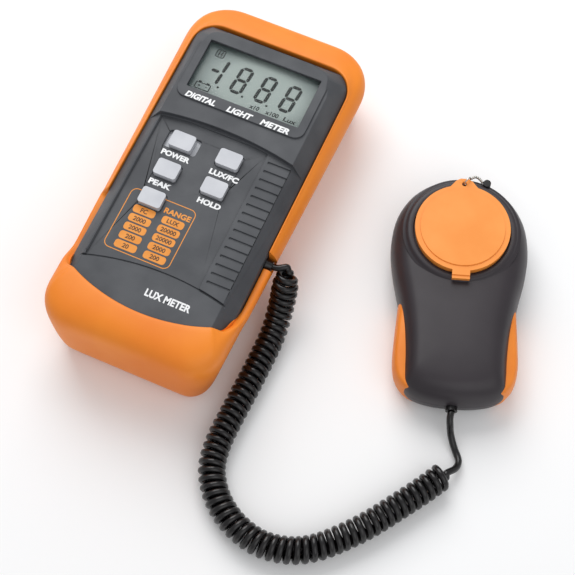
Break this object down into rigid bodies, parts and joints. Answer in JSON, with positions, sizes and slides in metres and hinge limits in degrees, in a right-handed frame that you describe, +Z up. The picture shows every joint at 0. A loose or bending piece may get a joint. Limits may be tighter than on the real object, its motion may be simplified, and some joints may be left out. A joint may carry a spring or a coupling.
{
  "type": "light meter",
  "caption": "Hand-held digital light meter in a rubber boot, with push keys, a display and a capped light sensor head on a curly cord.",
  "frame": {"origin": "middle of the boot's flat underside, on the surface that the meter lies on", "axes": "+X to the right of the keys, +Y towards the display end, +Z up out of the display"},
  "size_m": [0.1876, 0.213, 0.041],
  "materials": {
    "boot_rubber": "satin moulded rubber",
    "case_abs": "fine spark-eroded texture",
    "zinc_steel": "zinc plated",
    "battery_can": "printed can, plain",
    "black_plastic": "moulded",
    "lead_pvc": "PVC",
    "circuit_board": "solder resist",
    "white_plastic": "moulded",
    "silicone_strip": "layered silicone",
    "display_glass": "liquid crystal glass with grey film",
    "clear_acrylic": "polished",
    "key_plastic": "satin",
    "blue_plastic": "moulded",
    "capacitor_sleeve": "shrink sleeve",
    "cord_jacket": "satin PVC jacket",
    "head_abs": "satin, softly polished",
    "grip_rubber": "satin moulded rubber",
    "photodiode_face": "silicon cell",
    "filter_glass": "coloured glass",
    "opal_acrylic": "opal",
    "cap_plastic": "satin polypropylene",
    "chain_steel": "bright"
  },
  "bodies": {
    "meter": {"rubber_boot": "boot_rubber", "rear_case": "case_abs", "front_case": "case_abs", "case_screws": "zinc_steel", "battery_door": "case_abs", "battery_door_screw": "zinc_steel", "battery": "battery_can", "battery_snap": "black_plastic", "battery_leads": "lead_pvc", "main_board": "circuit_board", "board_screws": "zinc_steel", "lcd_frame": "white_plastic", "zebra_strips": "silicone_strip", "lcd_panel": "display_glass", "display_window": "clear_acrylic", "tact_switches": "black_plastic", "power_switch": "white_plastic", "converter_chip": "black_plastic", "amplifier_chip": "black_plastic", "trimmers": "blue_plastic", "capacitors": "capacitor_sleeve", "meter_gland": "cord_jacket", "cord_exit_lead": "cord_jacket", "cord_coil": "cord_jacket", "cord_sensor_lead": "cord_jacket"},
    "power_key": {"power_button": "key_plastic", "power_plunger": "black_plastic"},
    "peak_key": {"peak_button": "key_plastic"},
    "range_key": {"range_button": "key_plastic"},
    "lux_fc_key": {"lux_fc_button": "key_plastic"},
    "hold_key": {"hold_button": "key_plastic"},
    "sensor": {"sensor_gland": "cord_jacket", "sensor_bottom_shell": "head_abs", "sensor_top_shell": "head_abs", "left_grip": "grip_rubber", "right_grip": "grip_rubber", "sensor_board": "circuit_board", "sensor_screws": "zinc_steel", "photodiode": "photodiode_face", "filter_holder": "black_plastic", "optical_filter": "filter_glass", "diffuser": "opal_acrylic", "diffuser_ring": "black_plastic", "cap_chain": "chain_steel", "chain_anchor": "black_plastic"},
    "cap": {"sensor_cap": "cap_plastic", "cap_ring": "chain_steel"}
  },
  "joints": [
    {"name": "power_press", "type": "slide", "parent": "meter", "child": "power_key", "axis": [0, 0, -1], "range_m": [0, 0.002], "stiffness_N_per_m": 900},
    {"name": "peak_press", "type": "slide", "parent": "meter", "child": "peak_key", "axis": [0, 0, -1], "range_m": [0, 0.0008], "stiffness_N_per_m": 2000},
    {"name": "range_press", "type": "slide", "parent": "meter", "child": "range_key", "axis": [0, 0, -1], "range_m": [0, 0.0008], "stiffness_N_per_m": 2000},
    {"name": "lux_fc_press", "type": "slide", "parent": "meter", "child": "lux_fc_key", "axis": [0, 0, -1], "range_m": [0, 0.0008], "stiffness_N_per_m": 2000},
    {"name": "hold_press", "type": "slide", "parent": "meter", "child": "hold_key", "axis": [0, 0, -1], "range_m": [0, 0.0008], "stiffness_N_per_m": 2000},
    {"name": "sensor_lift", "type": "slide", "parent": "meter", "child": "sensor", "axis": [0, 0, 1], "range_m": [0, 0.1]},
    {"name": "cap_lift", "type": "slide", "parent": "sensor", "child": "cap", "axis": [0, 0, 1], "range_m": [0, 0.025], "deforming": ["cap_chain"]}
  ]
}
